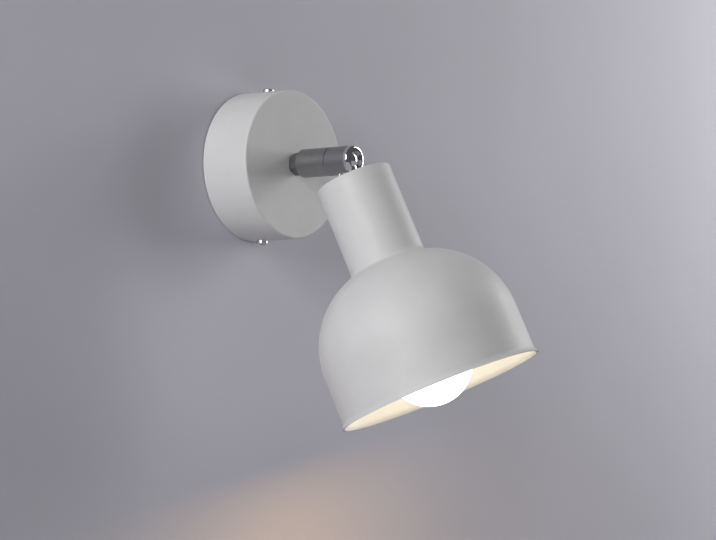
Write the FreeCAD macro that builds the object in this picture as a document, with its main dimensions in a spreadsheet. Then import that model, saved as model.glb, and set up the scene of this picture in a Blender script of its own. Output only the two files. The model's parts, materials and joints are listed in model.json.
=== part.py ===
"""Pivoting spotlight wall light: round wall cover, short arm with a ball joint, bell shade.

Millimetres.  The origin is the centre of the cover's back edge on the wall, +Z is up,
+X is to the right of someone who faces the wall, and the arm reaches along -Y.

Three frames are used.  In the wall frame a body's own Z runs out of the wall along the arm.
The knuckle frame is the wall frame turned by the swivel angle about the arm.  In the head
frame the origin is the centre of the joint ball and Z runs along the shade, towards its mouth.
"""
import FreeCAD, Part
import math
import os
import re

import Sketcher

SIZES = {
    # pose of the head in the rest position, degrees
    "swivel": 11.0,
    "tilt": 68.0,
    # general clearances and small edges
    "fit_gap": 0.05,
    "running_gap": 0.1,
    "edge_break": 0.3,
    # cover against the wall
    "canopy_dia": 80.0,
    "canopy_depth": 28.7,
    "canopy_wall": 1.0,
    "canopy_draft": 0.6,
    "canopy_round": 1.0,
    # side screws that hold the cover
    "screw_height": 8.0,
    "screw_dia": 4.0,
    "screw_length": 7.0,
    "screw_head_dia": 6.0,
    "screw_head_height": 2.0,
    "screw_hole_dia": 4.5,
    "recess_length": 3.2,
    "recess_width": 0.9,
    "recess_depth": 1.2,
    # mounting bracket
    "bracket_thick": 1.5,
    "bracket_tab_width": 14.0,
    "bracket_tab_height": 13.0,
    "bracket_bend": 1.8,
    "tap_collar_dia": 5.6,
    "tap_collar_length": 1.0,
    "cover_gap": 0.3,
    "plate_width": 34.0,
    "plate_length": 42.0,
    "plate_corner": 3.0,
    "slot_spacing": 54.0,
    "slot_length": 10.0,
    "slot_width": 4.6,
    "cable_hole_dia": 11.0,
    "cable_hole_drop": 12.0,
    # earth screw beside the cable hole
    "earth_offset": 11.5,
    "earth_dia": 4.0,
    "earth_head_dia": 7.0,
    "earth_head_height": 2.4,
    "earth_washer_dia": 8.6,
    "earth_washer_thick": 0.8,
    # terminal block for the mains wires
    "block_rise": 8.0,
    "block_depth": 14.0,
    "block_height": 11.0,
    "block_shoulder": 2.5,
    "pole_count": 3,
    "pole_pitch": 9.0,
    "pole_height": 4.6,
    "tube_dia": 4.6,
    "tube_bore": 3.2,
    "tube_length": 12.6,
    "clamp_screw_dia": 3.0,
    "clamp_screw_pitch": 6.6,
    "clamp_screw_length": 4.4,
    "fixing_screw_dia": 2.6,
    "fixing_head_dia": 4.2,
    "fixing_head_height": 1.6,
    # threaded tube through the front of the cover, its lock nut and washer
    "nipple_dia": 8.0,
    "nipple_bore": 5.6,
    "nipple_overhang": 2.8,
    "nut_flats": 13.0,
    "nut_thick": 4.0,
    "washer_dia": 15.0,
    "washer_thick": 0.8,
    "washer_teeth": 12,
    # hexagon between the cover and the arm
    "hex_flats": 10.6,
    "hex_length": 6.2,
    "hex_bevel": 0.3,
    # fixed half of the arm
    "arm_dia": 15.0,
    "sleeve_length": 18.9,
    "sleeve_wall": 1.2,
    "sleeve_front": 3.5,
    "plug_length": 6.0,
    # turning half of the arm with the ball seat
    "socket_wall": 1.05,
    "nose_length": 6.8,
    "nose_round": 1.8,
    "slot_gap": 0.3,
    "slot_rise": 0.4,
    # hollow spindle that carries the turning half
    "spindle_flange": 2.0,
    "spindle_dia": 8.0,
    "spindle_bore": 5.2,
    "spindle_overhang": 1.0,
    "nut_room": 0.5,
    "slip_washer_thick": 0.6,
    "spring_height": 0.9,
    "spring_thick": 0.4,
    "ring_nut_thick": 3.2,
    "ring_nut_slot": 1.4,
    # stop that limits the turn, degrees for the range
    "stop_range": 330.0,
    "stop_pin_dia": 1.2,
    "stop_pin_length": 4.2,
    "stop_pin_reach": 0.9,
    "stop_groove_width": 1.6,
    "stop_groove_depth": 1.2,
    # seat and spring behind the ball
    "seat_bore": 6.6,
    "seat_lip": 0.63,
    "ball_spring_height": 0.65,
    # ball stud
    "wire_slot": 3.6,
    "stud_spigot_dia": 5.6,
    "stud_spigot_depth": 3.8,
    "stud_neck_dia": 8.0,
    "stud_bore": 3.6,
    "collar_dia": 11.0,
    "collar_thick": 1.6,
    "stud_thread_dia": 10.0,
    # shade: neck, dome, skirt and flared lip, with lengths from the top of the neck
    "neck_top": 10.6,
    "neck_dia": 40.0,
    "neck_round": 0.5,
    "neck_fillet": 2.5,
    "dome_radius": 45.0,
    "dome_drop": 91.4,
    "shade_dia": 104.0,
    "shade_wall": 0.8,
    "flare_radius": 4.0,
    "flare_height": 2.9,
    "shade_length": 118.5,
    # nut and toothed washer inside the neck
    "stud_washer_dia": 17.0,
    "stud_washer_thick": 0.8,
    "stud_nut_flats": 14.0,
    "stud_nut_thick": 3.0,
    # lampholder, below the top of the neck
    "holder_drop": 12.9,
    "holder_cap_height": 14.0,
    "holder_cap_wall": 1.5,
    "holder_hub_dia": 14.0,
    "holder_hub_height": 6.5,
    "holder_dia": 25.0,
    "holder_wall": 1.8,
    "holder_overlap": 4.0,
    "holder_chamber": 13.5,
    "holder_floor": 4.0,
    "holder_boss_wall": 1.2,
    "holder_boss_height": 15.0,
    "holder_front": 28.6,
    "terminal_width": 5.0,
    "terminal_depth": 6.0,
    "terminal_height": 9.0,
    "terminal_offset": 6.4,
    "terminal_screw_dia": 3.0,
    "terminal_screw_length": 3.2,
    "shell_room": 0.5,
    "shell_wall": 0.4,
    "shell_length": 16.5,
    "contact_width": 5.0,
    "contact_thick": 0.5,
    "contact_reach": 5.5,
    # golf-ball lamp, 45 mm
    "bulb_inset": 0.4,
    "bulb_height": 33.7,
    "bulb_dia": 45.0,
    "bulb_wall": 0.9,
    "bulb_neck_dia": 15.4,
    "bulb_neck_height": 4.8,
    "bulb_swell_dia": 23.4,
    "cap_dia": 13.8,
    "cap_ridge": 0.45,
    "cap_ridges": 5,
    "cap_pitch": 2.82,
    "cap_length": 18.4,
    "insulator_height": 1.8,
    "insulator_dia": 9.2,
    "tip_dia": 4.8,
    "tip_height": 0.7,
}

# cross sizes that follow from others
CANOPY_SLOPE = "(canopy_draft / canopy_depth)"
SCREW_SEAT = f"(canopy_dia / 2 - {CANOPY_SLOPE} * (screw_height - screw_head_dia / 2))"
TAB_ROOM = f"(canopy_dia / 2 - {CANOPY_SLOPE} * bracket_tab_height - canopy_wall)"
TAB_FACE = f"(sqrt({TAB_ROOM} ^ 2 - (bracket_tab_width / 2) ^ 2) - cover_gap)"
BLOCK_LENGTH = "(pole_pitch * pole_count)"
SLEEVE_BORE = "(arm_dia - 2 * sleeve_wall)"
NUT_DIA = f"({SLEEVE_BORE} - 2 * nut_room)"
SOCKET_RADIUS = "(arm_dia / 2 - socket_wall)"
BALL_RADIUS = f"({SOCKET_RADIUS} - running_gap)"
HOLLOW = f"({BALL_RADIUS} + fit_gap)"
SLOT_HALF = "(stud_neck_dia / 2 + slot_gap)"
STOP_RADIUS = f"((spindle_dia / 2 + {SOCKET_RADIUS}) / 2)"
HOLDER_CAP_DIA = "(holder_dia + 2 * holder_cap_wall + 8 * fit_gap)"
SHELL_DIA = "(cap_dia + 2 * shell_wall + 2 * shell_room)"

# places along the arm, measured out from the wall
BLOCK_TOP = "(bracket_thick + block_height)"
SLEEVE_REAR = "(canopy_depth + hex_length)"
SLEEVE_END = "(canopy_depth + hex_length + sleeve_length)"
SHOULDER = "(canopy_depth + hex_length + sleeve_length - sleeve_front)"
KNUCKLE_REAR = "(canopy_depth + hex_length + sleeve_length + running_gap)"
FLANGE_FRONT = "(canopy_depth + hex_length + sleeve_length + running_gap + spindle_flange)"
SEAT_BACK = f"({FLANGE_FRONT} + ball_spring_height + fit_gap)"
PIVOT = f"({SEAT_BACK} + seat_lip + sqrt({HOLLOW} ^ 2 - (seat_bore / 2) ^ 2))"
NOSE = f"({PIVOT} + nose_length)"
SLIP_WASHER = f"({SHOULDER} - running_gap - slip_washer_thick)"
RING_NUT = f"({SLIP_WASHER} - spring_height - ring_nut_thick)"

# places along the head, measured from the centre of the ball
STUD_FLAT = f"sqrt({BALL_RADIUS} ^ 2 - (stud_neck_dia / 2) ^ 2)"
NECK_INSIDE = "(neck_top + shade_wall)"
STUD_WASHER_END = f"({NECK_INSIDE} + stud_washer_thick)"
DOME_CENTRE = "(neck_top + dome_drop)"
RIM = "(neck_top + shade_length)"
HOLDER_CAP = "(neck_top + holder_drop)"
HUB_END = f"({HOLDER_CAP} + holder_hub_height)"
HOLDER_START = f"({HOLDER_CAP} + holder_cap_height - holder_overlap)"
HOLDER_FLOOR = f"({HOLDER_START} + holder_chamber)"
HOLDER_FLOOR_TOP = f"({HOLDER_FLOOR} + holder_floor)"
HOLDER_MOUTH = f"({HOLDER_FLOOR_TOP} + holder_front)"
BULB_NECK = f"({HOLDER_MOUTH} - bulb_inset)"
BULB_CENTRE = f"({BULB_NECK} + bulb_height)"
CAP_TOP = f"({BULB_NECK} - fit_gap)"
CAP_BOTTOM = f"({CAP_TOP} - cap_length)"
TIP_BOTTOM = f"({CAP_BOTTOM} - insulator_height - tip_height)"

NAME = re.compile(r"[a-z_]\w*")
TOLERANCE = 1e-4

doc = FreeCAD.newDocument("wall_spotlight")
sheet = doc.addObject("Spreadsheet::Sheet", "Sizes")
pieces = []


def fill_sheet():
    for row, (alias, size) in enumerate(SIZES.items(), 1):
        sheet.set(f"A{row}", alias)
        sheet.set(f"B{row}", str(size))
        sheet.setAlias(f"B{row}", alias)
    doc.recompute()


def bound(text):
    """The expression with each size's name pointing at the sheet."""
    return NAME.sub(lambda m: "Sizes." + m.group() if m.group() in SIZES else m.group(), str(text))


def value(text):
    return float(sheet.evalExpression(bound(text)))


# ---------------------------------------------------------------- bodies and sketches

def place(piece, frame):
    """Puts a piece in the wall, knuckle or head frame."""
    piece.setExpression("Placement.Rotation.Roll", bound("90 + tilt" if frame == "head" else "90"))
    if frame != "wall":
        piece.setExpression("Placement.Rotation.Pitch", bound("-swivel"))
    if frame == "head":
        piece.setExpression("Placement.Base.y", bound(f"-{PIVOT}"))


def new_body(name, frame):
    body = doc.addObject("PartDesign::Body", name)
    body.Label = name
    place(body, frame)
    pieces.append(body)
    return body


def new_sketch(body, role, lift="0"):
    """A sketch on one of the body's origin planes, lifted along the plane's normal."""
    sketch = body.newObject("Sketcher::SketchObject", body.Name + "_sketch")
    plane = [item for item in body.Origin.OriginFeatures if item.Role == role][0]
    sketch.AttachmentSupport = [(plane, "")]
    sketch.MapMode = "FlatFace"
    sketch.setExpression("AttachmentOffset.Base.z", bound(lift))
    return sketch


def pin_point(sketch, geometry, end, x=None, y=None):
    """Fixes a point's coordinates to expressions; zero puts it on the sketch's axis."""
    for kind, text, axis in (("DistanceX", x, -2), ("DistanceY", y, -1)):
        if text is None:
            continue
        if str(text) == "0":
            sketch.addConstraint(Sketcher.Constraint("PointOnObject", geometry, end, axis))
            continue
        index = sketch.addConstraint(Sketcher.Constraint(kind, -1, 1, geometry, end, value(text)))
        sketch.setExpression(f"Constraints[{index}]", bound(text))


def outline(sketch, points):
    """A closed outline through points (x, y) given as expressions.

    A point (x, y, centre x, centre y, turn) is reached by an arc about that centre,
    with turn 1 for anticlockwise and -1 for clockwise.
    """
    spots = [FreeCAD.Vector(value(p[0]), value(p[1]), 0) for p in points]
    joints = []
    for number, point in enumerate(points):
        start, stop = spots[number - 1], spots[number]
        if len(point) == 2:
            index = sketch.addGeometry(Part.LineSegment(start, stop))
            joints.append((index, 1, 2))
            pin_point(sketch, index, 2, point[0], point[1])
            continue
        middle = FreeCAD.Vector(value(point[2]), value(point[3]), 0)
        first, last = (start, stop) if point[4] > 0 else (stop, start)
        circle = Part.Circle(middle, FreeCAD.Vector(0, 0, 1), (start - middle).Length)
        angles = [math.atan2(spot.y - middle.y, spot.x - middle.x) for spot in (first, last)]
        index = sketch.addGeometry(Part.ArcOfCircle(circle, angles[0], angles[1]))
        joints.append((index, 1, 2) if point[4] > 0 else (index, 2, 1))
        pin_point(sketch, index, 3, point[2], point[3])
        reach = stop - middle
        if abs(reach.y) > abs(reach.x):
            pin_point(sketch, index, joints[-1][2], x=point[0])
        else:
            pin_point(sketch, index, joints[-1][2], y=point[1])
    for number, (index, begin, _) in enumerate(joints):
        before = joints[number - 1]
        sketch.addConstraint(Sketcher.Constraint("Coincident", before[0], before[2], index, begin))


def circle(sketch, diameter, x="0", y="0"):
    middle = FreeCAD.Vector(value(x), value(y), 0)
    radius = value(diameter) / 2
    index = sketch.addGeometry(Part.Circle(middle, FreeCAD.Vector(0, 0, 1), radius))
    pin_point(sketch, index, 3, x, y)
    number = sketch.addConstraint(Sketcher.Constraint("Diameter", index, 2 * radius))
    sketch.setExpression(f"Constraints[{number}]", bound(diameter))


def rectangle(sketch, x, y, width, height):
    """A rectangle about the point x, y."""
    left, right = f"{x} - {width} / 2", f"{x} + {width} / 2"
    low, high = f"{y} - {height} / 2", f"{y} + {height} / 2"
    outline(sketch, [(left, low), (right, low), (right, high), (left, high)])


def hexagon(sketch, flats):
    """A hexagon about the origin with two flats facing the sketch's x axis."""
    corners = [90 + 60 * corner for corner in range(6)]
    around = f"({flats} / (2 * cos(30)))"
    points = []
    for angle in corners:
        across = "0" if angle in (90, 270) else f"{around} * cos({angle})"
        points.append((across, f"{around} * sin({angle})"))
    outline(sketch, points)


def feature(body, kind, name, profile):
    made = body.newObject("PartDesign::" + kind, body.Name + "_" + name)
    made.Profile = profile
    profile.Visibility = False
    return made


def extrude(body, sketch, length, kind="Pad", midplane=False, backwards=False):
    made = feature(body, kind, kind.lower(), sketch)
    made.setExpression("Length", bound(length))
    made.Midplane = midplane
    made.Reversed = backwards
    doc.recompute()
    return made


def revolve(body, sketch, kind="Revolution", axis="V_Axis", angle="360", midplane=False):
    made = feature(body, kind, kind.lower(), sketch)
    made.ReferenceAxis = (sketch, [axis])
    made.setExpression("Angle", bound(angle))
    made.Midplane = midplane
    doc.recompute()
    return made


def turned(body, points):
    """A solid of revolution about the body's Z from points (radius, height)."""
    sketch = new_sketch(body, "XZ_Plane")
    outline(sketch, points)
    return revolve(body, sketch)


def turned_cut(body, points):
    sketch = new_sketch(body, "XZ_Plane")
    outline(sketch, points)
    return revolve(body, sketch, kind="Groove")


def tube(bottom, top, outer, inner):
    """The section of a tube between two heights, from two diameters."""
    return [(f"{inner} / 2", bottom), (f"{outer} / 2", bottom), (f"{outer} / 2", top), (f"{inner} / 2", top)]


def near(first, second):
    return abs(first - second) < TOLERANCE


def rim(radius, height):
    """Picks the circular edges of one radius and height about the body's Z."""
    return lambda edge: (
        isinstance(edge.Curve, Part.Circle)
        and near(edge.Curve.Radius, value(radius))
        and near(edge.Curve.Center.z, value(height))
    )


def soften(body, kind, size, *tests):
    """Rounds or bevels the edges that pass any of the tests."""
    before = body.Tip
    names = [f"Edge{n}" for n, edge in enumerate(before.Shape.Edges, 1) if any(test(edge) for test in tests)]
    if not names:
        raise ValueError(f"{body.Name}: no edge to soften")
    made = body.newObject("PartDesign::" + kind, f"{body.Name}_{kind.lower()}")
    made.Base = (before, names)
    made.setExpression("Radius" if kind == "Fillet" else "Size", bound(size))
    doc.recompute()
    return made


# ---------------------------------------------------------------- cover and bracket

def canopy():
    """Deep drawn cup with a slight draft and a rounded front edge, open towards the wall."""
    body = new_body("canopy", "wall")
    front, back = "canopy_depth", "canopy_dia / 2"
    inside = f"({front} - canopy_wall)"
    hole = "(nipple_dia / 2 + 2 * fit_gap)"
    turned(body, [
        (f"{back} - canopy_wall", "0"), (back, "0"), (f"{back} - canopy_draft", front), (hole, front),
        (hole, inside), (f"{back} - {CANOPY_SLOPE} * {inside} - canopy_wall", inside),
    ])
    soften(body, "Fillet", "canopy_round", rim(f"{back} - canopy_draft", front))
    holes = new_sketch(body, "XZ_Plane")
    circle(holes, "screw_hole_dia", y="screw_height")
    extrude(body, holes, "canopy_dia", kind="Pocket", midplane=True)


def cross_recess(sketch, x, y):
    """A plus-shaped outline about the point x, y."""
    long, short = "recess_length / 2", "recess_width / 2"
    steps = [(long, short), (short, short), (short, long)]
    points = []
    for across, up in ((1, 1), (-1, 1), (-1, -1), (1, -1)):
        quarter = steps if across == up else steps[::-1]
        points += [(f"{x} + {across} * {px}", f"{y} + {up} * {py}") for px, py in quarter]
    outline(sketch, points)


def canopy_screws():
    """Two pan head screws through the side of the cover, above and below the arm."""
    body = new_body("canopy_screws", "wall")
    profile = new_sketch(body, "YZ_Plane")
    profile.setExpression("AttachmentOffset.Base.y", bound("screw_height"))
    seat = SCREW_SEAT
    for side in (1, -1):
        tip = f"{side} * ({seat} + screw_head_height - screw_length)"
        under = f"{side} * {seat}"
        top = f"{side} * ({seat} + screw_head_height)"
        shank, head = "screw_dia / 2 - fit_gap", "screw_head_dia / 2"
        outline(profile, [(tip, "0"), (tip, shank), (under, shank), (under, head), (top, head), (top, "0")])
    revolve(body, profile, axis="H_Axis")
    crown = f"{seat} + screw_head_height"
    soften(body, "Fillet", "screw_head_height / 3", lambda edge: (
        isinstance(edge.Curve, Part.Circle) and near(edge.Curve.Radius, value("screw_head_dia / 2"))
        and near(abs(edge.Curve.Center.y), value(crown))
    ))
    for side in (1, -1):
        recess = new_sketch(body, "XZ_Plane", lift=f"{-side} * ({crown})")
        cross_recess(recess, "0", "screw_height")
        extrude(body, recess, "recess_depth", kind="Pocket", backwards=side > 0)


def mounting_bracket():
    """Bent strip whose ends carry the cover's screws, on a wider pressed plate."""
    body = new_body("mounting_bracket", "wall")
    strip = new_sketch(body, "YZ_Plane")
    thick, high = "bracket_thick", "bracket_tab_height"
    inner = f"({TAB_FACE} - {thick})"
    outline(strip, [
        (f"-{TAB_FACE}", high), (f"-{TAB_FACE}", "0"), (TAB_FACE, "0"), (TAB_FACE, high),
        (inner, high), (inner, thick), (f"-{inner}", thick), (f"-{inner}", high),
    ])
    extrude(body, strip, "bracket_tab_width", midplane=True)

    def bend(face, height):
        return lambda edge: (
            near(edge.Length, value("bracket_tab_width"))
            and near(abs(edge.CenterOfMass.y), value(face)) and near(edge.CenterOfMass.z, value(height))
        )
    soften(body, "Fillet", "bracket_bend", bend(TAB_FACE, "0"))
    soften(body, "Fillet", "bracket_bend / 4", bend(inner, thick))
    plate = new_sketch(body, "XY_Plane")
    rectangle(plate, "0", "0", "plate_width", "plate_length")
    extrude(body, plate, thick)
    soften(body, "Fillet", "plate_corner", lambda edge: (
        near(edge.Length, value(thick)) and near(abs(edge.CenterOfMass.x), value("plate_width / 2"))
    ))
    bracket_holes(body)


def bracket_holes(body):
    """Wall slots, cable entry, tapped holes for earth and terminal block, tapped collars for the cover."""
    straight = new_sketch(body, "XY_Plane")
    round_holes = new_sketch(body, "XY_Plane")
    for side in (1, -1):
        middle = f"{side} * slot_spacing / 2"
        rectangle(straight, "0", middle, "slot_width", "(slot_length - slot_width)")
    extrude(body, straight, "bracket_thick", kind="Pocket", backwards=True)
    circle(round_holes, "cable_hole_dia", y="-cable_hole_drop")
    circle(round_holes, "earth_dia", x="earth_offset", y="-cable_hole_drop")
    circle(round_holes, "fixing_screw_dia", x="pole_pitch / 2", y="block_rise")
    extrude(body, round_holes, "bracket_thick", kind="Pocket", backwards=True)
    for end in (1, -1):
        ends = new_sketch(body, "XY_Plane")
        for side in (1, -1):
            circle(ends, "slot_width", y=f"{side} * slot_spacing / 2 + {end} * (slot_length - slot_width) / 2")
        extrude(body, ends, "bracket_thick", kind="Pocket", backwards=True)
    for side in (1, -1):
        collar = new_sketch(body, "XZ_Plane", lift=f"{-side} * ({TAB_FACE} - bracket_thick)")
        circle(collar, "tap_collar_dia", y="screw_height")
        extrude(body, collar, "tap_collar_length", backwards=side < 0)
    tapped = new_sketch(body, "XZ_Plane")
    circle(tapped, "screw_dia", y="screw_height")
    extrude(body, tapped, "canopy_dia", kind="Pocket", midplane=True)


def headed_screw(body, x, y, seat, shank, length, head, height):
    """A cheese head screw along Z with a slot; its head rests at the height seat."""
    for lift, size, reach, down in ((seat, head, height, False), (seat, shank, length, True)):
        section = new_sketch(body, "XY_Plane", lift=lift)
        circle(section, size, x=x, y=y)
        extrude(body, section, reach, backwards=down)
    slot = new_sketch(body, "XY_Plane", lift=f"{seat} + {height}")
    rectangle(slot, x, y, f"({head} + 1)", f"({head} / 5)")
    extrude(body, slot, f"{height} / 2", kind="Pocket")


def earth_terminal():
    """Screw and cup washer for the earth wire, on the bracket."""
    top = "bracket_thick"
    washer = new_body("earth_washer", "wall")
    ring = new_sketch(washer, "XY_Plane", lift=top)
    circle(ring, "earth_washer_dia", x="earth_offset", y="-cable_hole_drop")
    circle(ring, "earth_dia + 4 * fit_gap", x="earth_offset", y="-cable_hole_drop")
    extrude(washer, ring, "earth_washer_thick")
    screw = new_body("earth_screw", "wall")
    headed_screw(screw, "earth_offset", "-cable_hole_drop", f"({top} + earth_washer_thick)",
                 "(earth_dia - 2 * fit_gap)", "(bracket_thick + earth_washer_thick)",
                 "earth_head_dia", "earth_head_height")


def pole_places():
    """Across positions of the terminal block's poles, about its middle."""
    count = int(SIZES["pole_count"])
    return [f"(pole_pitch * {number - (count - 1) / 2})" for number in range(count)]


def terminal_block():
    """Moulded block with a shouldered top, wire ways across it and screw wells."""
    body = new_body("terminal_block", "wall")
    section = new_sketch(body, "YZ_Plane")
    middle, half, low, high = "block_rise", "block_depth / 2", "bracket_thick", BLOCK_TOP
    shoulder = f"({high} - block_shoulder)"
    outline(section, [
        (f"{middle} - {half}", low), (f"{middle} + {half}", low), (f"{middle} + {half}", shoulder),
        (f"{middle} + {half} - block_shoulder", high), (f"{middle} - {half} + block_shoulder", high),
        (f"{middle} - {half}", shoulder),
    ])
    extrude(body, section, BLOCK_LENGTH, midplane=True)
    ways = new_sketch(body, "XZ_Plane", lift="-block_rise")
    for place_x in pole_places():
        circle(ways, "(tube_dia + 2 * fit_gap)", x=place_x, y="bracket_thick + pole_height")
    extrude(body, ways, "block_depth + 1", kind="Pocket", midplane=True)
    wells = new_sketch(body, "XY_Plane", lift=BLOCK_TOP)
    for place_x in pole_places():
        for side in (1, -1):
            circle(wells, "clamp_screw_dia + 2 * fit_gap", x=place_x,
                   y=f"block_rise + {side} * clamp_screw_pitch / 2")
    extrude(body, wells, "block_height - pole_height", kind="Pocket")
    fixing = new_sketch(body, "XY_Plane", lift=BLOCK_TOP)
    circle(fixing, "fixing_screw_dia + 4 * fit_gap", x="pole_pitch / 2", y="block_rise")
    extrude(body, fixing, "block_height", kind="Pocket")


def terminal_metal():
    """Brass tubes with their clamp screws, and the screw that fixes the block."""
    axis_height = "bracket_thick + pole_height"
    tubes = new_body("terminal_tubes", "wall")
    rings = new_sketch(tubes, "XZ_Plane", lift="-block_rise")
    for place_x in pole_places():
        circle(rings, "tube_dia", x=place_x, y=axis_height)
        circle(rings, "tube_bore", x=place_x, y=axis_height)
    extrude(tubes, rings, "tube_length", midplane=True)
    screws = new_body("terminal_screws", "wall")
    start = f"({axis_height} + tube_dia / 2 + fit_gap)"
    shanks = new_sketch(screws, "XY_Plane", lift=start)
    slots = new_sketch(screws, "XY_Plane", lift=f"{start} + clamp_screw_length")
    for place_x in pole_places():
        for side in (1, -1):
            across = f"block_rise + {side} * clamp_screw_pitch / 2"
            circle(shanks, "clamp_screw_dia", x=place_x, y=across)
            rectangle(slots, place_x, across, "(clamp_screw_dia + 1)", "(clamp_screw_dia / 5)")
    extrude(screws, shanks, "clamp_screw_length")
    extrude(screws, slots, "clamp_screw_dia / 4", kind="Pocket")
    fixing = new_body("terminal_fixing_screw", "wall")
    headed_screw(fixing, "pole_pitch / 2", "block_rise", BLOCK_TOP, "(fixing_screw_dia - 2 * fit_gap)",
                 "block_height + bracket_thick", "fixing_head_dia", "fixing_head_height")


# ---------------------------------------------------------------- fixed half of the arm

def nipple_group():
    """Threaded tube through the cover with its toothed washer and lock nut."""
    inside = "(canopy_depth - canopy_wall)"
    nipple = new_body("nipple", "wall")
    rear = f"({inside} - washer_thick - nut_thick - nipple_overhang)"
    front = f"({SLEEVE_REAR} + plug_length - 4 * running_gap)"
    turned(nipple, tube(rear, front, "nipple_dia", "nipple_bore"))
    toothed_washer("nipple_washer", "wall", f"({inside} - washer_thick)", "washer_thick",
                   "washer_dia", "nipple_dia")
    hex_nut("nipple_nut", "wall", f"({inside} - washer_thick - nut_thick)", "nut_thick",
            "nut_flats", "nipple_dia")


def toothed_washer(name, frame, low, thick, outer, thread):
    """Flat ring with notches round its rim."""
    body = new_body(name, frame)
    ring = new_sketch(body, "XY_Plane", lift=low)
    circle(ring, outer)
    circle(ring, f"{thread} + 2 * fit_gap")
    extrude(body, ring, thick)
    notch = new_sketch(body, "XY_Plane", lift=low)
    rectangle(notch, f"{outer} / 2", "0", f"({outer} / 6)", f"({outer} / 10)")
    cut = extrude(body, notch, thick, kind="Pocket", backwards=True)
    pattern = body.newObject("PartDesign::PolarPattern", name + "_notches")
    pattern.Originals = [cut]
    pattern.Axis = (notch, ["N_Axis"])
    pattern.Angle = 360
    pattern.setExpression("Occurrences", bound("washer_teeth"))
    body.Tip = pattern
    doc.recompute()


def hex_nut(name, frame, low, thick, flats, thread):
    """Hexagon nut or spacer with a plain bore, its corners turned off at both faces."""
    body = new_body(name, frame)
    section = new_sketch(body, "XY_Plane", lift=low)
    hexagon(section, flats)
    circle(section, f"{thread} + 2 * fit_gap")
    extrude(body, section, thick)
    start, outer = f"({flats} / 2 - hex_bevel)", f"({flats} * 0.6)"
    drop = f"({outer} - {start}) * tan(30)"
    high = f"({low} + {thick})"
    turned_cut(body, [(start, low), (outer, low), (outer, f"{low} + {drop}")])
    turned_cut(body, [(start, high), (outer, f"{high} - {drop}"), (outer, high)])


def hex_collar():
    """Hexagonal spacer between the cover and the arm, pierced for the threaded tube."""
    hex_nut("hex_collar", "wall", "canopy_depth", "hex_length", "hex_flats", "nipple_dia")


def arm_sleeve():
    """Fixed half of the arm: a tube with a front wall that the spindle turns in."""
    body = new_body("arm_sleeve", "wall")
    rear, end, shoulder = SLEEVE_REAR, SLEEVE_END, SHOULDER
    hole = "(spindle_dia / 2 + running_gap)"
    bore = f"{SLEEVE_BORE} / 2"
    turned(body, [
        (bore, rear), ("arm_dia / 2", rear), ("arm_dia / 2", end), (hole, end), (hole, shoulder), (bore, shoulder),
    ])
    soften(body, "Chamfer", "edge_break", rim("arm_dia / 2", rear), rim("arm_dia / 2", end))
    pin_hole = new_sketch(body, "XY_Plane", lift=end)
    circle(pin_hole, "stop_pin_dia + 2 * fit_gap", y=STOP_RADIUS)
    extrude(body, pin_hole, "stop_pin_length - stop_pin_reach + fit_gap", kind="Pocket")
    plug = new_body("arm_plug", "wall")
    turned(plug, tube(rear, f"({rear} + plug_length)", f"({SLEEVE_BORE} - 2 * fit_gap)",
                      "(nipple_dia + 2 * fit_gap)"))
    pin = new_body("swivel_stop_pin", "wall")
    section = new_sketch(pin, "XY_Plane", lift=f"({end} + stop_pin_reach)")
    circle(section, "stop_pin_dia", y=STOP_RADIUS)
    extrude(pin, section, "stop_pin_length", backwards=True)


# ---------------------------------------------------------------- turning half of the arm

def knuckle_housing():
    """Turning half of the arm: ball socket with an arched slot to the front and underside."""
    body = new_body("knuckle_housing", "knuckle")
    rear, nose, bore = KNUCKLE_REAR, NOSE, SOCKET_RADIUS
    turned(body, [("0", rear), ("arm_dia / 2", rear), ("arm_dia / 2", nose), ("0", nose)])
    soften(body, "Chamfer", "edge_break", rim("arm_dia / 2", rear))
    soften(body, "Fillet", "nose_round", rim("arm_dia / 2", nose))
    turned_cut(body, [
        ("0", rear), (bore, rear), (bore, PIVOT), ("0", f"({PIVOT} + {bore})", "0", PIVOT, 1),
    ])
    arch = new_sketch(body, "XY_Plane", lift=nose)
    half, below = SLOT_HALF, "-arm_dia"
    outline(arch, [
        (f"-{half}", below), (half, below), (half, "slot_rise"),
        (f"-{half}", "slot_rise", "0", "slot_rise", 1),
    ])
    extrude(body, arch, "nose_length", kind="Pocket")
    drop = new_sketch(body, "XZ_Plane")
    outline(drop, [
        (half, f"{nose} + 1"), (f"-{half}", f"{nose} + 1"), (f"-{half}", PIVOT), (half, PIVOT, "0", PIVOT, 1),
    ])
    extrude(body, drop, "arm_dia", kind="Pocket", backwards=True)


def swivel_spindle():
    """Hollow spindle screwed into the back of the knuckle, with the curved stop groove."""
    body = new_body("swivel_spindle", "knuckle")
    low = f"({RING_NUT} - spindle_overhang)"
    bore, shank, flange = "spindle_bore / 2", "spindle_dia / 2", f"({SOCKET_RADIUS} - fit_gap)"
    turned(body, [
        (bore, low), (shank, low), (shank, KNUCKLE_REAR), (flange, KNUCKLE_REAR),
        (flange, FLANGE_FRONT), (bore, FLANGE_FRONT),
    ])
    soften(body, "Chamfer", "edge_break", rim(shank, low))
    groove = new_sketch(body, "YZ_Plane")
    rectangle(groove, STOP_RADIUS, f"({KNUCKLE_REAR} + stop_groove_depth / 2 - 0.5)", "stop_groove_width",
              "(stop_groove_depth + 1)")
    turn = f"stop_range * 1deg + 2 * asin((stop_pin_dia / 2 + running_gap) / {STOP_RADIUS})"
    revolve(body, groove, kind="Groove", angle=turn, midplane=True)


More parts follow.
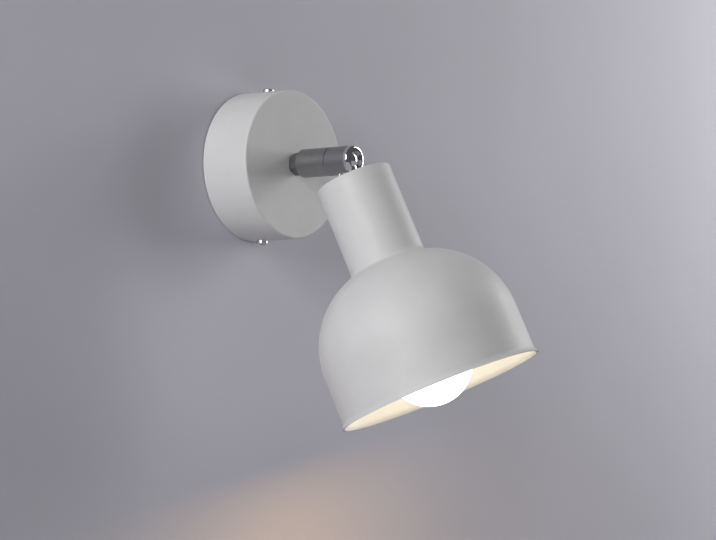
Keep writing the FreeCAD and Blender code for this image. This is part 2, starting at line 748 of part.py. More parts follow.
def swivel_friction_stack():
    """Slip washer, spring washer and slotted ring nut on the spindle, inside the sleeve."""
    slip = new_body("swivel_slip_washer", "knuckle")
    turned(slip, tube(SLIP_WASHER, f"({SLIP_WASHER} + slip_washer_thick)", NUT_DIA,
                      "(spindle_dia + 2 * fit_gap)"))
    spring_washer("swivel_spring", f"({SLIP_WASHER} - spring_height)", "spring_height",
                  f"({NUT_DIA} - 2 * running_gap)", "(spindle_dia + 2 * fit_gap)")
    nut = new_body("swivel_ring_nut", "knuckle")
    turned(nut, tube(RING_NUT, f"({RING_NUT} + ring_nut_thick)", NUT_DIA,
                     "(spindle_dia + 2 * fit_gap)"))
    slot = new_sketch(nut, "XY_Plane", lift=RING_NUT)
    rectangle(slot, "0", "0", "ring_nut_slot", f"({NUT_DIA} + 1)")
    extrude(nut, slot, "ring_nut_thick / 3", kind="Pocket", backwards=True)


def spring_washer(name, low, height, outer, inner):
    """Coned spring washer, its outer edge forward."""
    body = new_body(name, "knuckle")
    thick = "spring_thick"
    turned(body, [
        (f"{inner} / 2", low), (f"{inner} / 2", f"{low} + {thick}"),
        (f"{outer} / 2", f"{low} + {height}"), (f"{outer} / 2", f"{low} + {height} - {thick}"),
    ])


def ball_seat():
    """Ring behind the ball with a hollow face of the ball's radius."""
    body = new_body("ball_seat", "knuckle")
    front = f"({PIVOT} - {SLOT_HALF})"
    outer = f"({SOCKET_RADIUS} - fit_gap)"
    turned(body, [
        ("seat_bore / 2", SEAT_BACK), (outer, SEAT_BACK), (outer, front),
        (f"sqrt({HOLLOW} ^ 2 - {SLOT_HALF} ^ 2)", front),
        ("seat_bore / 2", f"({SEAT_BACK} + seat_lip)", "0", PIVOT, -1),
    ])
    spring_washer("ball_spring", FLANGE_FRONT, "ball_spring_height", f"({SOCKET_RADIUS} * 2 - 8 * running_gap)",
                  "seat_bore")


# ---------------------------------------------------------------- head: ball, stud and shade

def joint_ball():
    """Ball, tapped for the stud and slotted at the back for the wires."""
    body = new_body("joint_ball", "head")
    wide = f"(2 * {BALL_RADIUS})"
    turned(body, [("0", f"-{BALL_RADIUS}"), ("0", BALL_RADIUS, "0", "0", 1)])
    flat = new_sketch(body, "XY_Plane", lift=STUD_FLAT)
    circle(flat, wide)
    extrude(body, flat, wide, kind="Pocket", backwards=True)
    hole = new_sketch(body, "XY_Plane", lift=STUD_FLAT)
    circle(hole, "stud_spigot_dia + 2 * fit_gap")
    extrude(body, hole, "stud_spigot_depth + fit_gap", kind="Pocket")
    wires = new_sketch(body, "YZ_Plane")
    reach, middle = f"-{wide}", "wire_slot / 2"
    deep = f"{STUD_FLAT} - stud_spigot_depth"
    outline(wires, [(reach, reach), (middle, reach), (middle, deep), (f"-{middle}", deep), (reach, "0")])
    extrude(body, wires, "wire_slot", kind="Pocket", midplane=True)


def ball_stud():
    """Hollow stud: spigot in the ball, round neck, collar and the long threaded end."""
    body = new_body("ball_stud", "head")
    bore, spigot, neck = "stud_bore / 2", "stud_spigot_dia / 2", "stud_neck_dia / 2"
    low, collar = f"({STUD_FLAT} - stud_spigot_depth)", "(neck_top - collar_thick)"
    turned(body, [
        (bore, low), (spigot, low), (spigot, STUD_FLAT), (neck, STUD_FLAT), (neck, collar),
        ("collar_dia / 2", collar), ("collar_dia / 2", "neck_top"), ("stud_thread_dia / 2", "neck_top"),
        ("stud_thread_dia / 2", HUB_END), (bore, HUB_END),
    ])
    soften(body, "Chamfer", "edge_break", rim("collar_dia / 2", collar), rim("stud_thread_dia / 2", HUB_END))


def bell(sketch, inset):
    """Half section of the shade: neck, fillet, dome, skirt and flared lip, set in by a distance."""
    neck = f"(neck_dia / 2 - {inset})"
    skirt = f"(shade_dia / 2 - {inset})"
    dome_x, dome_y = "(shade_dia / 2 - dome_radius)", DOME_CENTRE
    span = "(dome_radius + neck_fillet)"
    fillet_x = "(neck_dia / 2 + neck_fillet)"
    rise = f"sqrt({span} ^ 2 - ({fillet_x} - {dome_x}) ^ 2)"
    fillet_y = f"({dome_y} - {rise})"
    share = f"((dome_radius - {inset}) / {span})"
    flare_x, flare_y = "(shade_dia / 2 + flare_radius)", f"({RIM} - flare_height)"
    lip = f"({flare_x} - sqrt((flare_radius + {inset}) ^ 2 - flare_height ^ 2))"
    outline(sketch, [
        ("0", RIM), ("0", f"(neck_top + {inset})"), (neck, f"(neck_top + {inset})"),
        (neck, fillet_y),
        (f"{dome_x} + ({fillet_x} - {dome_x}) * {share}", f"{dome_y} - {rise} * {share}",
         fillet_x, fillet_y, -1),
        (skirt, dome_y, dome_x, dome_y, 1),
        (skirt, flare_y),
        (lip, RIM, flare_x, flare_y, -1),
    ])


def shade():
    """Spun bell in one piece with its neck: outer form less the same form set in by the wall."""
    body = new_body("shade", "head")
    outer = new_sketch(body, "XZ_Plane")
    bell(outer, "0")
    revolve(body, outer)
    soften(body, "Fillet", "neck_round", rim("neck_dia / 2", "neck_top"))
    inner = new_sketch(body, "XZ_Plane")
    bell(inner, "shade_wall")
    revolve(body, inner, kind="Groove")
    hole = new_sketch(body, "XY_Plane", lift="neck_top")
    circle(hole, "stud_thread_dia + 4 * fit_gap")
    extrude(body, hole, "shade_wall + 1", kind="Pocket", backwards=True)


def neck_fixings():
    """Toothed washer and thin nut that clamp the neck against the stud's collar."""
    toothed_washer("stud_washer", "head", NECK_INSIDE, "stud_washer_thick", "stud_washer_dia",
                   "stud_thread_dia")
    hex_nut("stud_nut", "head", STUD_WASHER_END, "stud_nut_thick", "stud_nut_flats", "stud_thread_dia")


# ---------------------------------------------------------------- lampholder and lamp

def lampholder_cap():
    """Domed cap with a tapped hub on the stud and a skirt over the holder."""
    body = new_body("lampholder_cap", "head")
    start, end = HOLDER_CAP, f"({HOLDER_CAP} + holder_cap_height)"
    outer, inner = f"{HOLDER_CAP_DIA} / 2", f"({HOLDER_CAP_DIA} / 2 - holder_cap_wall)"
    hub, thread = "holder_hub_dia / 2", "(stud_thread_dia / 2 + fit_gap)"
    under = f"({HOLDER_CAP} + holder_cap_wall)"
    turned(body, [
        (thread, start), (outer, start), (outer, end), (inner, end),
        (inner, under), (hub, under), (hub, HUB_END), (thread, HUB_END),
    ])
    soften(body, "Fillet", "holder_cap_wall * 2", rim(outer, start))


def lampholder_body():
    """Tubular holder: wiring chamber behind, floor, and the boss of the screw shell in front."""
    body = new_body("lampholder_body", "head")
    outer, rear = "holder_dia / 2", "(holder_dia / 2 - holder_wall)"
    seat = f"({SHELL_DIA} / 2 + fit_gap)"
    boss, boss_top = f"({seat} + holder_boss_wall)", f"({HOLDER_FLOOR_TOP} + holder_boss_height)"
    turned(body, [
        ("0", HOLDER_FLOOR), (rear, HOLDER_FLOOR), (rear, HOLDER_START), (outer, HOLDER_START),
        (outer, HOLDER_MOUTH), (rear, HOLDER_MOUTH), (rear, HOLDER_FLOOR_TOP), (boss, HOLDER_FLOOR_TOP),
        (boss, boss_top), (seat, boss_top), (seat, HOLDER_FLOOR_TOP), ("0", HOLDER_FLOOR_TOP),
    ])
    soften(body, "Fillet", "edge_break * 2", rim(outer, HOLDER_MOUTH))


def lampholder_metal():
    """Screw shell, centre contact and the two wire terminals with their screws."""
    shell = new_body("lampholder_shell", "head")
    end = f"({HOLDER_MOUTH} - shell_wall * 3)"
    turned(shell, tube(f"({end} - shell_length)", end, SHELL_DIA, f"({SHELL_DIA} - 2 * shell_wall)"))
    contact = new_body("lampholder_contact", "head")
    leaf = new_sketch(contact, "XZ_Plane")
    floor, thick, foot = HOLDER_FLOOR_TOP, "contact_thick", "contact_reach"
    tip, lift = "(tip_dia / 2)", f"({TIP_BOTTOM} - fit_gap)"
    outline(leaf, [
        (f"-{foot}", floor), ("0", floor), ("0", f"{floor} + {thick}"),
        (f"-{foot} + 2 * {thick}", f"{floor} + {thick}"), (f"-{tip}", f"{lift} - {thick}"),
        (tip, f"{lift} - {thick}"), (tip, lift), (f"-{tip} - {thick}", lift), (f"-{foot}", f"{floor} + 2 * {thick}"),
    ])
    extrude(contact, leaf, "contact_width", midplane=True)
    blocks = new_body("lampholder_terminals", "head")
    base = new_sketch(blocks, "XY_Plane", lift=HOLDER_FLOOR)
    heads = new_body("lampholder_terminal_screws", "head")
    screws = new_sketch(heads, "XZ_Plane", lift="terminal_depth / 2")
    ways = new_sketch(blocks, "XY_Plane", lift=HOLDER_FLOOR)
    low = f"({HOLDER_FLOOR} - terminal_height / 3)"
    for side in (1, -1):
        across = f"({side} * terminal_offset)"
        rectangle(base, across, "0", "terminal_width", "terminal_depth")
        circle(ways, "terminal_width / 2", x=across)
        circle(screws, "terminal_screw_dia", x=across, y=low)
    extrude(blocks, base, "terminal_height", backwards=True)
    extrude(blocks, ways, "terminal_height", kind="Pocket")
    extrude(heads, screws, "terminal_screw_length / 2")


def bulb():
    """Golf-ball lamp: opal globe with its neck, ridged cap, insulator and centre tip."""
    globe = new_body("bulb_globe", "head")
    middle, foot = BULB_CENTRE, BULB_NECK

    def section(inset):
        """Crown, swell and neck of the globe's outline, set in by a distance."""
        radius, swell = f"(bulb_dia / 2 - {inset})", f"(bulb_swell_dia / 2 - {inset})"
        shoulder = f"({middle} - sqrt({radius} ^ 2 - {swell} ^ 2))"
        neck = f"(bulb_neck_dia / 2 - {inset})"
        return f"({middle} + {radius})", (swell, shoulder), (neck, f"({foot} + bulb_neck_height)"), (neck, foot)

    crown, swell, neck, end = section("0")
    inner_crown, inner_swell, inner_neck, inner_end = section("bulb_wall")
    turned(globe, [
        end, neck, swell, ("0", crown, "0", middle, 1),
        ("0", inner_crown), (*inner_swell, "0", middle, -1), inner_neck, inner_end,
    ])
    cap = new_body("bulb_cap", "head")
    crest, root = "cap_dia / 2", "(cap_dia / 2 - cap_ridge)"
    points = [("0", CAP_TOP), ("0", CAP_BOTTOM), (root, CAP_BOTTOM)]
    for ridge in range(int(SIZES["cap_ridges"])):
        foot = f"({CAP_BOTTOM} + cap_pitch * {ridge})"
        points += [(crest, f"{foot} + cap_pitch / 2"), (root, f"{foot} + cap_pitch")]
    turned(cap, points + [(root, CAP_TOP)])
    insulator = new_body("bulb_insulator", "head")
    low = f"({CAP_BOTTOM} - insulator_height)"
    turned(insulator, [("0", low), ("tip_dia / 2", low), ("insulator_dia / 2", CAP_BOTTOM), ("0", CAP_BOTTOM)])
    tip = new_body("bulb_tip", "head")
    turned(tip, [("0", TIP_BOTTOM), ("tip_dia / 2", TIP_BOTTOM), ("tip_dia / 2", low), ("0", low)])


# ---------------------------------------------------------------- check and export

def check_document():
    """Stops on a failed object, an empty cut or a bad solid."""
    doc.recompute()
    for item in doc.Objects:
        if {"Invalid", "Error"} & set(item.State):
            raise RuntimeError(f"{item.Name} failed: {item.State}")
        if item.TypeId in ("PartDesign::Pocket", "PartDesign::Groove"):
            if item.Shape.Volume >= item.BaseFeature.Shape.Volume - TOLERANCE:
                raise RuntimeError(f"{item.Name} cuts nothing")
    for piece in pieces:
        if piece.Shape.isNull() or not piece.Shape.isValid() or not piece.Shape.Solids:
            raise RuntimeError(f"{piece.Label} has a bad shape")


def export_pieces():
    os.makedirs("parts", exist_ok=True)
    for piece in pieces:
        piece.Shape.exportStep(f"parts/{piece.Label}.step")
        solids = piece.Shape.Solids
        print(f"{piece.Label:28s} solids {len(solids)}  volume {piece.Shape.Volume:9.1f} mm3")


fill_sheet()
canopy()
canopy_screws()
mounting_bracket()
earth_terminal()
terminal_block()
terminal_metal()
nipple_group()
hex_collar()
arm_sleeve()
knuckle_housing()
swivel_spindle()
swivel_friction_stack()
ball_seat()
joint_ball()
ball_stud()
shade()
neck_fixings()
lampholder_cap()
lampholder_body()
lampholder_metal()
bulb()
check_document()
export_pieces()
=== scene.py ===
"""Looks of the pivoting spotlight wall light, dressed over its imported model.

Metres.  The wall is the plane y = 0, +Z is up and the arm reaches along -Y.
"""
import json
import math

import bmesh
import bpy
from mathutils import Matrix, Vector


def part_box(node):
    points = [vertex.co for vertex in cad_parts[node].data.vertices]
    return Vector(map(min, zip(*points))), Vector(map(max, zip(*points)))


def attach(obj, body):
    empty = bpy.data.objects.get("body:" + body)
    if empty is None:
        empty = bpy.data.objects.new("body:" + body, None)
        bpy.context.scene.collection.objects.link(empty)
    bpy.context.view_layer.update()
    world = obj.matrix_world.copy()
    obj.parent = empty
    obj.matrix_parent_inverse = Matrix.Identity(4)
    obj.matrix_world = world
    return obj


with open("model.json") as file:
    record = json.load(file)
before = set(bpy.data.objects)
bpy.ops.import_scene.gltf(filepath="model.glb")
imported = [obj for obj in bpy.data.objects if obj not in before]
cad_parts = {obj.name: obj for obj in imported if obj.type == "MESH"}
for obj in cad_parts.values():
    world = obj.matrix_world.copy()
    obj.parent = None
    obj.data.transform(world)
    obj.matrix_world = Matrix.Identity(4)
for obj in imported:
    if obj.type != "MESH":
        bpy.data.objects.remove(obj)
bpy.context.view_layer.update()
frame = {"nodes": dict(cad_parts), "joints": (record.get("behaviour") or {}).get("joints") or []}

MM = 0.001
nodes = frame["nodes"]

# camera, fitted to the photograph
CAMERA_AZIMUTH = math.radians(-52.37)
CAMERA_ELEVATION = math.radians(-4.94)
CAMERA_ROLL = math.radians(2.11)
CAMERA_TARGET = Vector((57.0, -29.38, -50.91)) * MM
CAMERA_DISTANCE = 943.25 * MM
CAMERA_LENS = 85.91
CAMERA_NEAR = 10 * MM
SENSOR_WIDTH = 36.0

# stage: the wall stands just behind the part, and the cover's rim hides the edge of its opening
WALL_GAP = 0.5 * MM
WALL_HALF = 1.6
WALL_TOP = 1.6
WALL_HOLE_MARGIN = 4 * MM
WALL_HOLE_SEGMENTS = 64
FLOOR_HEIGHT = -1.3
FLOOR_HALF = 3.0

# turning marks on the arm's metal, and where its polished nose begins and is full, from the tip
RING_WIDTH = 0.16 * MM
RING_STRETCH = (60.0, 1.0, 60.0)
RING_DEPTH = 0.006 * MM
POLISH_START = 3.2 * MM
POLISH_FULL = 2.4 * MM
POLISHED_ROUGHNESS = 0.05

# threads: steps in a turn, how deep the ridge's foot sits, and the room left at its ends
THREAD_STEPS = 28
THREAD_SINK = 0.05 * MM
THREAD_MARGIN = 0.35 * MM

# half widths of a thread's foot and crest, as shares of its pitch
THREAD_FOOT = 0.42
THREAD_CREST = 0.06

# threaded tube in the cover: pitch and depth of its thread
TUBE_PITCH = 1.0 * MM
TUBE_DEPTH = 0.3 * MM

# cover screws: whole length, threaded part that shows, shank radius, pitch and depth
SCREW_LENGTH = 7.0 * MM
SCREW_THREAD = 3.6 * MM
SCREW_RADIUS = 1.95 * MM
SCREW_PITCH = 0.7 * MM
SCREW_DEPTH = 0.2 * MM

# surround: its strength in front of the wall and behind it, and the direction's Y where it is full
WORLD_COLOUR = (0.95, 0.95, 1.0)
WORLD_FRONT = 0.085
WORLD_BEHIND = 1.0
WORLD_TURN = 0.4

# light thrown beyond the shade's mouth: how far out it starts and how far it leans to the wall
GLOW_GAP = 2.5 * MM
GLOW_LEAN = 0.04
GLOW_DIAMETER = 96 * MM
GLOW_WATTS = 0.25
GLOW_COLOUR = (1.0, 0.54, 0.12)


# ---------------------------------------------------------------- materials

class Surface:
    """A node material in the making: its shader and the textures that feed it."""

    def __init__(self, name, roughness, metallic=0.0):
        self.material = bpy.data.materials.new(name)
        self.material.use_nodes = True
        self.tree = self.material.node_tree
        self.shader = self.tree.nodes["Principled BSDF"]
        self.shader.inputs["Roughness"].default_value = roughness
        self.shader.inputs["Metallic"].default_value = metallic
        self.place = self.add("ShaderNodeTexCoord").outputs["Object"]

    def add(self, kind, **settings):
        """A new node of the given kind, with its settings."""
        node = self.tree.nodes.new(kind)
        for name, setting in settings.items():
            setattr(node, name, setting)
        return node

    def join(self, output, target):
        """Links an output to an input."""
        self.tree.links.new(output, target)

    def noise(self, size, detail=3.0, stretch=(1.0, 1.0, 1.0)):
        """Noise whose spots are about size metres across, times stretch along each axis."""
        scale = self.add("ShaderNodeMapping")
        scale.inputs["Scale"].default_value = [1.0 / (size * axis) for axis in stretch]
        texture = self.add("ShaderNodeTexNoise")
        texture.inputs["Scale"].default_value = 1.0
        texture.inputs["Detail"].default_value = detail
        self.join(self.place, scale.inputs["Vector"])
        self.join(scale.outputs["Vector"], texture.inputs["Vector"])
        return texture.outputs["Fac"]

    def rings(self):
        """The fine marks that turning leaves round the arm's axis."""
        return self.noise(RING_WIDTH, detail=2.0, stretch=RING_STRETCH)

    def spread(self, fac, low, high, start=0.3, end=0.7):
        """A number from low to high as fac goes from start to end."""
        node = self.add("ShaderNodeMapRange")
        for name, number in (("From Min", start), ("From Max", end),
                             ("To Min", low), ("To Max", high)):
            node.inputs[name].default_value = number
        self.join(fac, node.inputs["Value"])
        return node.outputs["Result"]

    def colours(self, fac, dark, light, start=0.3, end=0.7):
        """Base colour from dark to light as fac goes from start to end."""
        node = self.add("ShaderNodeValToRGB")
        first, last = node.color_ramp.elements
        first.position, last.position = start, end
        first.color, last.color = (*dark, 1.0), (*light, 1.0)
        self.join(fac, node.inputs["Fac"])
        self.join(node.outputs["Color"], self.shader.inputs["Base Color"])

    def roughness(self, fac, low, high):
        """Roughness from low to high with fac."""
        self.join(self.spread(fac, low, high), self.shader.inputs["Roughness"])

    def bump(self, height, distance, strength=1.0):
        """Relief of the given depth in metres, over any relief that is there."""
        node = self.add("ShaderNodeBump")
        node.inputs["Distance"].default_value = distance
        node.inputs["Strength"].default_value = strength
        previous = self.shader.inputs["Normal"].links
        if previous:
            self.join(previous[0].from_socket, node.inputs["Normal"])
        self.join(height, node.inputs["Height"])
        self.join(node.outputs["Normal"], self.shader.inputs["Normal"])


def powder_coat():
    """Matt white powder coat: fine orange peel under a finer grain."""
    coat = Surface("powder_coat", 0.5)
    coat.colours(coat.noise(14 * MM), (0.655, 0.65, 0.648), (0.685, 0.68, 0.678))
    coat.roughness(coat.noise(5 * MM), 0.47, 0.56)
    coat.bump(coat.noise(0.9 * MM, detail=2.0), 0.02 * MM, 0.5)
    coat.bump(coat.noise(0.28 * MM, detail=1.0), 0.012 * MM, 0.5)
    return coat.material


def turned_metal(name, dark, light, smooth, rough):
    """Plated metal with fine turning rings across the arm and a cloudy sheen."""
    metal = Surface(name, rough, metallic=1.0)
    rings = metal.rings()
    metal.colours(metal.noise(4 * MM), dark, light)
    metal.roughness(rings, smooth, rough)
    metal.bump(rings, RING_DEPTH, 0.6)
    return metal.material


def knuckle_metal(polish_start, polish_full):
    """Satin barrel that turns into a mirror-polished nose between two places along the arm."""
    metal = Surface("knuckle_metal", 0.3, metallic=1.0)
    rings = metal.rings()
    split = metal.add("ShaderNodeSeparateXYZ")
    metal.join(metal.place, split.inputs["Vector"])
    polish = metal.spread(split.outputs["Y"], 1.0, 0.0, polish_full, polish_start)
    satin = metal.spread(rings, 0.27, 0.4)
    mix = metal.add("ShaderNodeMix", data_type="FLOAT")
    metal.join(polish, mix.inputs["Factor"])
    metal.join(satin, mix.inputs["A"])
    mix.inputs["B"].default_value = POLISHED_ROUGHNESS
    metal.join(mix.outputs["Result"], metal.shader.inputs["Roughness"])
    metal.colours(polish, (0.38, 0.385, 0.395), (0.8, 0.81, 0.82), 0.0, 1.0)
    metal.bump(rings, RING_DEPTH, 0.5)
    return metal.material


def mirror_metal():
    """Polished plate with faint wipe marks."""
    metal = Surface("mirror_metal", 0.06, metallic=1.0)
    metal.colours(metal.noise(3 * MM), (0.78, 0.79, 0.8), (0.84, 0.85, 0.86))
    metal.roughness(metal.noise(1.2 * MM, stretch=(1.0, 4.0, 1.0)), 0.04, 0.1)
    return metal.material


def plated_steel(name, dark, light, smooth=0.28, rough=0.45):
    """Zinc or nickel plate with its cloudy spangle and small scuffs."""
    steel = Surface(name, rough, metallic=1.0)
    spangle = steel.add("ShaderNodeTexVoronoi")
    spangle.inputs["Scale"].default_value = 1.0 / (2.2 * MM)
    steel.join(steel.place, spangle.inputs["Vector"])
    steel.colours(spangle.outputs["Distance"], dark, light, 0.1, 0.8)
    steel.roughness(steel.noise(1.5 * MM), smooth, rough)
    steel.bump(steel.noise(0.4 * MM), 0.01 * MM, 0.4)
    return steel.material


def moulded_plastic(name, dark, light, roughness):
    """Moulded part: faint flow marks and a spark-eroded grain."""
    plastic = Surface(name, roughness)
    plastic.colours(plastic.noise(7 * MM), dark, light)
    plastic.roughness(plastic.noise(2 * MM), roughness - 0.06, roughness + 0.06)
    plastic.bump(plastic.noise(0.35 * MM, detail=1.0), 0.015 * MM, 0.5)
    return plastic.material


def lit_opal():
    """Opal globe of a warm lamp that is switched on."""
    opal = Surface("lit_opal", 0.25)
    opal.colours(opal.noise(9 * MM), (0.95, 0.93, 0.88), (0.98, 0.97, 0.94))
    opal.bump(opal.noise(6 * MM, detail=1.0), 0.02 * MM, 0.3)
    opal.shader.inputs["Emission Color"].default_value = (1.0, 0.89, 0.68, 1.0)
    opal.shader.inputs["Emission Strength"].default_value = 4.5
    return opal.material


def painted_wall():
    """Smooth lilac-grey wall, seen from its front only."""
    paint = Surface("painted_wall", 0.75)
    paint.colours(paint.noise(180 * MM), (0.6, 0.585, 0.648), (0.63, 0.615, 0.68))
    paint.bump(paint.noise(2.2 * MM), 0.05 * MM, 0.4)
    facing = paint.add("ShaderNodeNewGeometry")
    clear = paint.add("ShaderNodeBsdfTransparent")
    mix = paint.add("ShaderNodeMixShader")
    share, front, behind = mix.inputs
    paint.join(facing.outputs["Backfacing"], share)
    paint.join(paint.shader.outputs["BSDF"], front)
    paint.join(clear.outputs["BSDF"], behind)
    paint.join(mix.outputs["Shader"], paint.tree.nodes["Material Output"].inputs["Surface"])
    return paint.material


def pale_floor():
    """Plain pale floor."""
    floor = Surface("pale_floor", 0.8)
    floor.colours(floor.noise(260 * MM), (0.76, 0.76, 0.77), (0.8, 0.8, 0.81))
    return floor.material


def dress(names, material):
    """Gives CAD nodes a material."""
    for name in names:
        node = nodes[name]
        node.data.materials.clear()
        node.data.materials.append(material)


def dress_nodes():
    """Every CAD node in its material, and the threads in theirs."""
    nose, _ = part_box("knuckle_housing")
    steel = plated_steel("zinc_plate", (0.58, 0.59, 0.61), (0.72, 0.73, 0.74))
    brass = plated_steel("brass_plain", (0.66, 0.5, 0.24), (0.8, 0.64, 0.34), 0.25, 0.4)
    dress(["canopy", "shade"], powder_coat())
    dress(["arm_sleeve", "arm_plug"],
          turned_metal("satin_nickel", (0.37, 0.375, 0.385), (0.4, 0.405, 0.415), 0.27, 0.4))
    dress(["knuckle_housing"],
          knuckle_metal(nose.y + POLISH_START, nose.y + POLISH_FULL))
    # hex collar: metal coloured far darker than the arm's, with a slight red tint
    dress(["hex_collar"],
          turned_metal("dark_hex_metal", (0.2, 0.19, 0.19), (0.26, 0.25, 0.25), 0.3, 0.42))
    dress(["joint_ball", "ball_stud"], mirror_metal())
    dress([
        "canopy_screws", "mounting_bracket", "earth_washer", "terminal_screws",
        "terminal_fixing_screw", "nipple", "nipple_washer", "nipple_nut", "swivel_stop_pin",
        "swivel_spindle", "swivel_slip_washer", "swivel_ring_nut", "stud_washer", "stud_nut",
        "lampholder_terminal_screws",
    ], steel)
    dress(["swivel_spring", "ball_spring"],
          plated_steel("spring_steel", (0.36, 0.35, 0.36), (0.5, 0.49, 0.5)))
    dress([
        "earth_screw", "terminal_tubes", "lampholder_shell", "lampholder_contact",
        "lampholder_terminals",
    ], brass)
    dress(["terminal_block"],
          moulded_plastic("white_moulding", (0.72, 0.71, 0.68), (0.8, 0.79, 0.76), 0.42))
    dress(["ball_seat"],
          moulded_plastic("seat_moulding", (0.66, 0.64, 0.58), (0.74, 0.72, 0.66), 0.4))
    dress(["lampholder_cap", "lampholder_body"],
          moulded_plastic("black_moulding", (0.018, 0.018, 0.019), (0.032, 0.032, 0.034), 0.38))
    dress(["bulb_globe"], lit_opal())
    dress(["bulb_cap", "bulb_tip"],
          plated_steel("bulb_metal", (0.6, 0.6, 0.62), (0.74, 0.74, 0.76), 0.2, 0.36))
    dress(["bulb_insulator"],
          moulded_plastic("black_glaze", (0.02, 0.02, 0.025), (0.04, 0.04, 0.05), 0.14))
    threads(steel)


# ---------------------------------------------------------------- screw threads

def new_object(name, build, material):
    """The object that a finished bmesh becomes."""
    mesh = bpy.data.meshes.new(name)
    build.to_mesh(mesh)
    build.free()
    mesh.materials.append(material)
    piece = bpy.data.objects.new(name, mesh)
    bpy.context.scene.collection.objects.link(piece)
    return piece


def thread(name, body, material, start, end, radius, pitch, depth):
    """A helical ridge round the line from start to end, faded out over a turn at both ends."""
    start, end = Vector(start), Vector(end)
    along = (end - start).normalized()
    side = along.orthogonal().normalized()
    lift = along.cross(side)
    turns = (end - start).length / pitch
    steps = max(int(turns * THREAD_STEPS), 2)
    foot = radius - THREAD_SINK
    build = bmesh.new()
    sections = []
    for step in range(steps + 1):
        angle = 2 * math.pi * turns * step / steps
        outward = side * math.cos(angle) + lift * math.sin(angle)
        middle = start + along * pitch * turns * step / steps
        fade = min(1.0, step / THREAD_STEPS, (steps - step) / THREAD_STEPS)
        crest = radius + depth * fade
        sections.append([
            build.verts.new(middle + outward * out + along * share * pitch)
            for out, share in ((foot, -THREAD_FOOT), (crest, -THREAD_CREST),
                               (crest, THREAD_CREST), (foot, THREAD_FOOT))
        ])
    for before, after in zip(sections, sections[1:]):
        for corner in range(4):
            beyond = (corner + 1) % 4
            build.faces.new((before[corner], before[beyond], after[beyond], after[corner]))
    build.faces.new(sections[0][::-1])
    build.faces.new(sections[-1])
    bmesh.ops.recalc_face_normals(build, faces=build.faces[:])
    ridge = new_object(name, build, material)
    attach(ridge, body)


def threads(steel):
    """Threads that show behind the cover: the tube's rear end and the two cover screws."""
    _, tube_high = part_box("nipple")
    _, nut_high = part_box("nipple_nut")
    thread("nipple_thread", "base", steel,
           (0, tube_high.y - THREAD_MARGIN, 0), (0, nut_high.y + THREAD_MARGIN, 0),
           tube_high.x, TUBE_PITCH, TUBE_DEPTH)
    low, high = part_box("canopy_screws")
    middle = (low.y + high.y) / 2
    for name, tip in (("upper", high.z), ("lower", low.z)):
        side = math.copysign(1.0, tip)
        inner = abs(tip) - SCREW_LENGTH
        outer = inner + SCREW_THREAD
        thread(f"cover_screw_thread_{name}", "base", steel,
               (0, middle, side * inner), (0, middle, side * outer),
               SCREW_RADIUS, SCREW_PITCH, SCREW_DEPTH)


# ---------------------------------------------------------------- stage, light and camera

def flat_sheet(name, corners, facing, material, hole=0.0):
    """A stage surface through four corners, with its front towards facing.

    A hole radius asks for a round hole about the Y axis.
    """
    build = bmesh.new()
    outline = [build.verts.new(corner) for corner in corners]
    for pair in zip(outline, outline[1:] + outline[:1]):
        build.edges.new(pair)
    if hole:
        upright = Matrix.Rotation(math.radians(90), 4, "X")
        place = Matrix.Translation((0, corners[0][1], 0))
        bmesh.ops.create_circle(build, segments=WALL_HOLE_SEGMENTS, radius=hole,
                                matrix=place @ upright)
    bmesh.ops.triangle_fill(build, edges=build.edges[:], use_beauty=True)
    bmesh.ops.recalc_face_normals(build, faces=build.faces[:])
    sheet = new_object(name, build, material)
    if sheet.data.polygons[0].normal.dot(facing) < 0:
        sheet.data.flip_normals()


def stage():
    """A wall, open behind the cover as it is for the mains, and a floor well below."""
    cover_low, cover_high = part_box("canopy")
    hole = (cover_high.x - cover_low.x) / 2 - WALL_HOLE_MARGIN
    flat_sheet("wall_backdrop", [
        (-WALL_HALF, WALL_GAP, FLOOR_HEIGHT), (WALL_HALF, WALL_GAP, FLOOR_HEIGHT),
        (WALL_HALF, WALL_GAP, WALL_TOP), (-WALL_HALF, WALL_GAP, WALL_TOP),
    ], Vector((0, -1, 0)), painted_wall(), hole)
    flat_sheet("floor", [
        (-FLOOR_HALF, -FLOOR_HALF, FLOOR_HEIGHT), (FLOOR_HALF, -FLOOR_HALF, FLOOR_HEIGHT),
        (FLOOR_HALF, FLOOR_HALF, FLOOR_HEIGHT), (-FLOOR_HALF, FLOOR_HALF, FLOOR_HEIGHT),
    ], Vector((0, 0, 1)), pale_floor())


def soft_light(name, place, aim, size, watts, colour=(1.0, 1.0, 1.0), shape="RECTANGLE"):
    """An area lamp of the given width and height at place, facing aim."""
    lamp = bpy.data.lights.new(name, "AREA")
    lamp.shape = shape
    lamp.size, lamp.size_y = size
    lamp.energy = watts
    lamp.color = colour
    holder = bpy.data.objects.new(name, lamp)
    holder.location = place
    holder.rotation_euler = (Vector(aim) - Vector(place)).to_track_quat("-Z", "Y").to_euler()
    bpy.context.scene.collection.objects.link(holder)
    return holder


def mouth_glow():
    """What the lit lamp throws beyond the shade: a disc at the mouth that turns with the head."""
    tilt = next(joint for joint in frame["joints"] if joint["name"] == "head_tilt")
    pivot = Vector(tilt["pos_m"])
    low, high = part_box("bulb_tip")
    axis = ((low + high) / 2 - pivot).normalized()
    rim = max((corner.co - pivot).dot(axis) for corner in nodes["shade"].data.vertices)
    place = pivot + axis * (rim + GLOW_GAP)
    aim = place + axis + Vector((0, GLOW_LEAN, 0))
    lamp = soft_light("mouth_glow", place, aim, size=(GLOW_DIAMETER, GLOW_DIAMETER),
                      watts=GLOW_WATTS, colour=GLOW_COLOUR, shape="DISK")
    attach(lamp, "head")


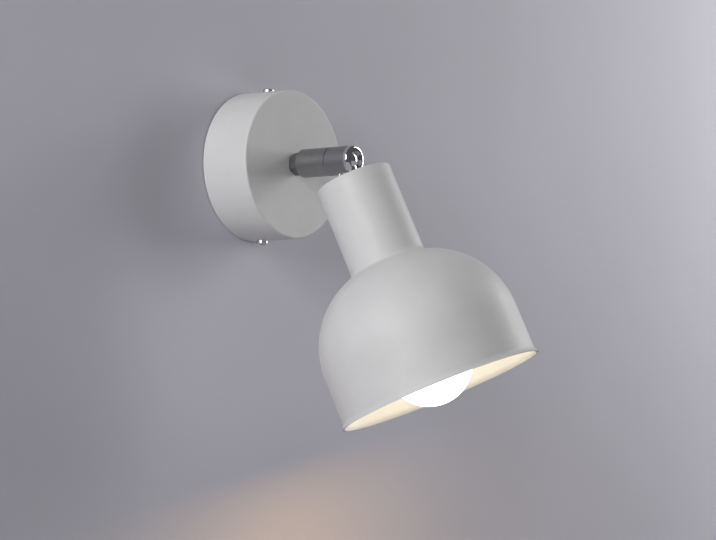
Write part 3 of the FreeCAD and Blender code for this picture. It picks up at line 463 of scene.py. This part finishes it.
def studio_world():
    """A dim surround in front of the wall and a brighter one behind it, for the part's back."""
    world = bpy.data.worlds.new("studio")
    world.use_nodes = True
    tree = world.node_tree
    background = tree.nodes["Background"]
    place = tree.nodes.new("ShaderNodeTexCoord")
    depth = tree.nodes.new("ShaderNodeSeparateXYZ")
    level = tree.nodes.new("ShaderNodeMapRange")
    for name, number in (("From Min", 0.0), ("From Max", WORLD_TURN),
                         ("To Min", WORLD_FRONT), ("To Max", WORLD_BEHIND)):
        level.inputs[name].default_value = number
    tree.links.new(place.outputs["Generated"], depth.inputs["Vector"])
    tree.links.new(depth.outputs["Y"], level.inputs["Value"])
    tree.links.new(level.outputs["Result"], background.inputs["Strength"])
    background.inputs["Color"].default_value = (*WORLD_COLOUR, 1.0)
    bpy.context.scene.world = world


def lights():
    """Three softboxes, the light from the shade's mouth and the surround."""
    middle = (0.02, -0.07, -0.05)
    soft_light("left_box", (-1.3, -0.2, 0.3), middle, size=(0.7, 0.7), watts=16.0)
    soft_light("right_box", (1.2, -0.45, 0.35), middle, size=(0.5, 0.7), watts=8.1)
    soft_light("right_high", (1.3, -0.8, 1.0), middle, size=(0.5, 0.5), watts=1.8)
    mouth_glow()
    studio_world()


def camera():
    """Camera at the photograph's viewing angle, framed for 716 by 540."""
    azimuth, elevation, roll = CAMERA_AZIMUTH, CAMERA_ELEVATION, CAMERA_ROLL
    back = Vector((
        math.sin(azimuth) * math.cos(elevation),
        -math.cos(azimuth) * math.cos(elevation),
        math.sin(elevation),
    ))
    level = Vector((0, 0, 1)).cross(back).normalized()
    lift = back.cross(level)
    right = level * math.cos(roll) + lift * math.sin(roll)
    up = lift * math.cos(roll) - level * math.sin(roll)
    lens = bpy.data.cameras.new("camera")
    lens.lens = CAMERA_LENS
    lens.sensor_width = SENSOR_WIDTH
    lens.sensor_fit = "HORIZONTAL"
    lens.clip_start = CAMERA_NEAR
    holder = bpy.data.objects.new("camera", lens)
    axes = Matrix((right, up, back)).transposed().to_4x4()
    holder.matrix_world = Matrix.Translation(CAMERA_TARGET + back * CAMERA_DISTANCE) @ axes
    bpy.context.scene.collection.objects.link(holder)
    bpy.context.scene.camera = holder


dress_nodes()
stage()
lights()
camera()
bpy.context.scene.view_settings.view_transform = "Standard"
